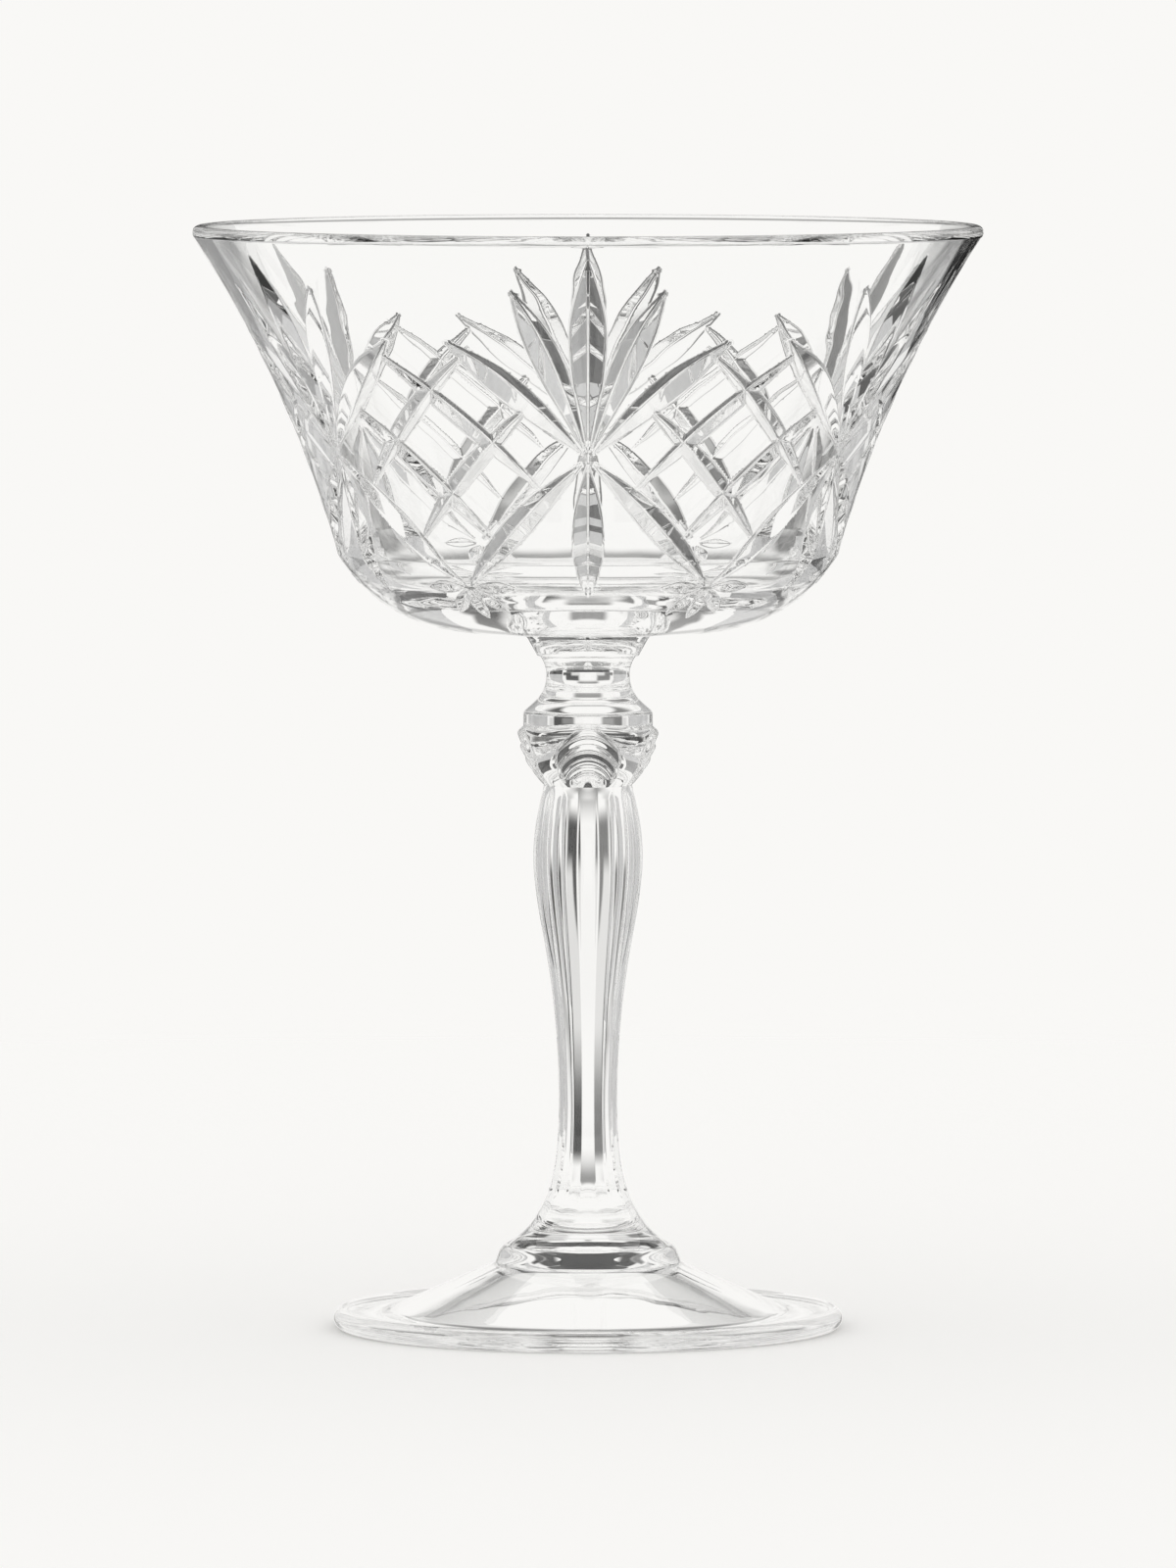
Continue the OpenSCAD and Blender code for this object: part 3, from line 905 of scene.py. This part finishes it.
def studio():
    """A white studio. Glass sees dark cards in it, which the camera doesn't."""
    world = bpy.data.worlds.new("studio")
    scene.world = world
    world.use_nodes = True
    nodes, links = world.node_tree.nodes, world.node_tree.links
    nodes.clear()

    def math_node(operation, a, b=None, c=None):
        node = nodes.new("ShaderNodeMath")
        node.operation = operation
        for socket, value in zip(node.inputs, (a, b, c)):
            if value is None:
                continue
            if isinstance(value, (int, float)):
                socket.default_value = value
            else:
                links.new(value, socket)
        return node.outputs[0]

    def step(value, low, high, start=0.0, end=1.0):
        """A soft step from start to end, between two angles in degrees."""
        node = nodes.new("ShaderNodeMapRange")
        node.interpolation_type = "SMOOTHSTEP"
        links.new(value, node.inputs["Value"])
        low, high = math.radians(low), math.radians(high)
        for name, number in (("From Min", low), ("From Max", high), ("To Min", start), ("To Max", end)):
            node.inputs[name].default_value = number
        return node.outputs[0]

    place = nodes.new("ShaderNodeTexCoord")
    split = nodes.new("ShaderNodeSeparateXYZ")
    links.new(place.outputs["Generated"], split.inputs[0])
    x, y, z = split.outputs
    azimuth = math_node("ARCTAN2", x, y)
    elevation = math_node("ARCSINE", z)
    half_side = 180 / SIDES
    turn = math_node("FLOORED_MODULO", azimuth, math.radians(2 * half_side))
    off = math_node("ABSOLUTE", math_node("SUBTRACT", turn, math.radians(half_side)))

    def within(pair):
        """1 nearer to the middle of a side than the pair of angles, 0 further from it."""
        return step(off, half_side - pair[1], half_side - pair[0])

    def between(low, high):
        """1 between two elevations, 0 outside them."""
        return math_node("MULTIPLY", step(elevation, *low), step(elevation, *high, 1.0, 0.0))

    def shade(mask, tone):
        """Brightness where a mask is dark in this tone and the rest is lit."""
        return math_node("MULTIPLY_ADD", mask, tone - 1, 1.0)

    def outside(mask):
        return math_node("SUBTRACT", 1.0, mask)

    def slanting(pair, upper_pair, share=1.0):
        """1 nearer to the middle than a pair of angles, and a share of it within another higher up."""
        wider = math_node("MULTIPLY", within(upper_pair), step(elevation, *SLANT, 0.0, share))
        return math_node("MAXIMUM", within(pair), wider)

    window = slanting(WINDOW_SIDE, SLANT_WINDOW, SLANT_SHARE)
    cards = math_node("MULTIPLY", slanting(CARD_SIDE, SLANT_CARD), outside(window))
    cards = math_node("MULTIPLY", cards, between(CARD_LOW, CARD_HIGH))
    left = step(turn, half_side - CARD_CHANGE, half_side + CARD_CHANGE)
    tone = math_node("MULTIPLY_ADD", left, CARD_TONES[1] - CARD_TONES[0], CARD_TONES[0] - 1)
    level = math_node("MULTIPLY_ADD", cards, tone, 1.0)
    above = math_node("MULTIPLY", within(TOP_SIDE), outside(within(TOP_MIDDLE)))
    above = math_node("MULTIPLY", above, between(TOP_LOW, TOP_HIGH))
    level = math_node("MULTIPLY", level, shade(above, TOP_TONE))
    table = math_node("MULTIPLY", within(TABLE_SIDE), between(TABLE_LOW, WINDOW_LOW))
    level = math_node("MULTIPLY", level, shade(table, TABLE_TONE))

    lights = nodes.new("ShaderNodeLightPath")
    seen = nodes.new("ShaderNodeBackground")
    seen.inputs["Color"].default_value = (*BACKDROP, 1)
    soft = nodes.new("ShaderNodeBackground")
    soft.inputs["Color"].default_value = (1, 1, 1, 1)
    carded = nodes.new("ShaderNodeBackground")
    carded.inputs["Color"].default_value = (*BACKDROP, 1)
    links.new(level, carded.inputs["Strength"])
    by_glass = nodes.new("ShaderNodeMixShader")
    through = math_node("MAXIMUM", lights.outputs["Is Glossy Ray"],
                        lights.outputs["Is Transmission Ray"])
    links.new(through, by_glass.inputs[0])
    links.new(soft.outputs[0], by_glass.inputs[1])
    links.new(carded.outputs[0], by_glass.inputs[2])
    by_camera = nodes.new("ShaderNodeMixShader")
    links.new(lights.outputs["Is Camera Ray"], by_camera.inputs[0])
    links.new(by_glass.outputs[0], by_camera.inputs[1])
    links.new(seen.outputs[0], by_camera.inputs[2])
    output = nodes.new("ShaderNodeOutputWorld")
    links.new(by_camera.outputs[0], output.inputs["Surface"])


def screen(name, back, left, right, low, high, tone):
    """A plain screen behind the glass. Only the glass shows it."""
    mesh = bpy.data.meshes.new(name)
    corners = ((left, low), (right, low), (right, high), (left, high))
    mesh.from_pydata([(x, back, z) for x, z in corners], [], [(0, 1, 2, 3)])
    material = bpy.data.materials.new(name)
    material.use_nodes = True
    shader = material.node_tree.nodes["Principled BSDF"]
    shader.inputs["Base Color"].default_value = (tone, tone, tone, 1)
    shader.inputs["Specular IOR Level"].default_value = 0
    shader.inputs["Roughness"].default_value = 1
    mesh.materials.append(material)
    plane = bpy.data.objects.new(name, mesh)
    plane.visible_camera = False
    plane.visible_diffuse = False
    plane.visible_shadow = False
    scene.collection.objects.link(plane)


bowl_piece()
boss_piece()
knop_piece()
stem_piece()
foot_piece()
camera()
floor()
for name, sizes in SCREENS.items():
    screen(name, *sizes)
studio()

scene.view_settings.view_transform = "Standard"
scene.cycles.max_bounces = BOUNCES
scene.cycles.transmission_bounces = BOUNCES
scene.cycles.glossy_bounces = GLOSSY_BOUNCES
scene.cycles.transparent_max_bounces = BOUNCES
